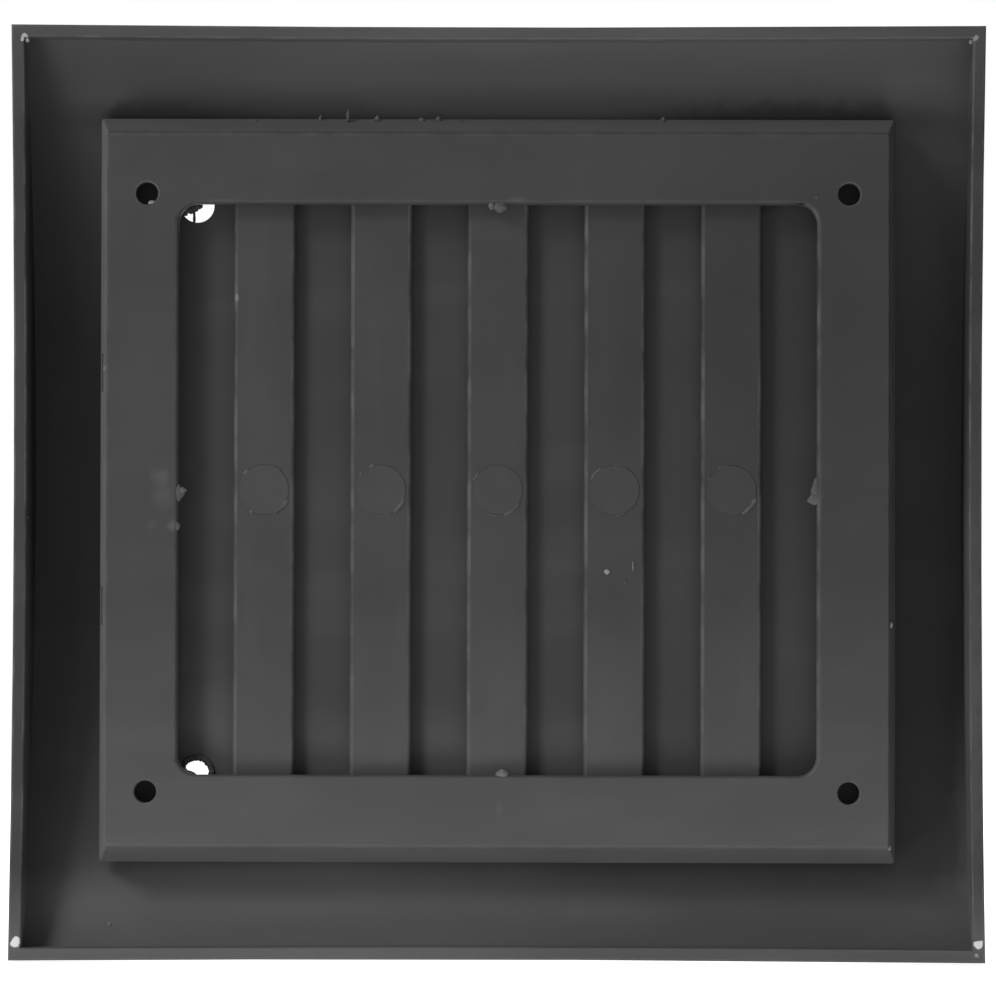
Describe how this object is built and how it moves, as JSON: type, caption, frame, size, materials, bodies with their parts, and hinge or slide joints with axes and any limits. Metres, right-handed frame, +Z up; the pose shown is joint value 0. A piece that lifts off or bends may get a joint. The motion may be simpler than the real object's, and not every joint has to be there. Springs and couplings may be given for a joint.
{
  "type": "plastic vent grille",
  "caption": "Bow-fronted plastic vent grille: a slotted cover over upright louvre bars, clipped to a wall frame with a screw hole in each corner.",
  "frame": {"origin": "centre of the four screw holes, on the wall plane that the rim and the mounting frame both touch", "axes": "+X across the grille, to the right of someone who looks at its back; +Z up; +Y from the wall towards the room, so the pictured back faces -Y"},
  "size_m": [0.15, 0.019, 0.144],
  "materials": {
    "cover_plastic": "anthracite ABS, satin as moulded",
    "louvre_plastic": "anthracite ABS, satin as moulded, with pin marks",
    "frame_plastic": "anthracite ABS, satin as moulded, with flash at its edges"
  },
  "bodies": {
    "root": {"cover": "cover_plastic", "louvre_plate": "louvre_plastic", "mounting_frame": "frame_plastic"}
  },
  "joints": []
}
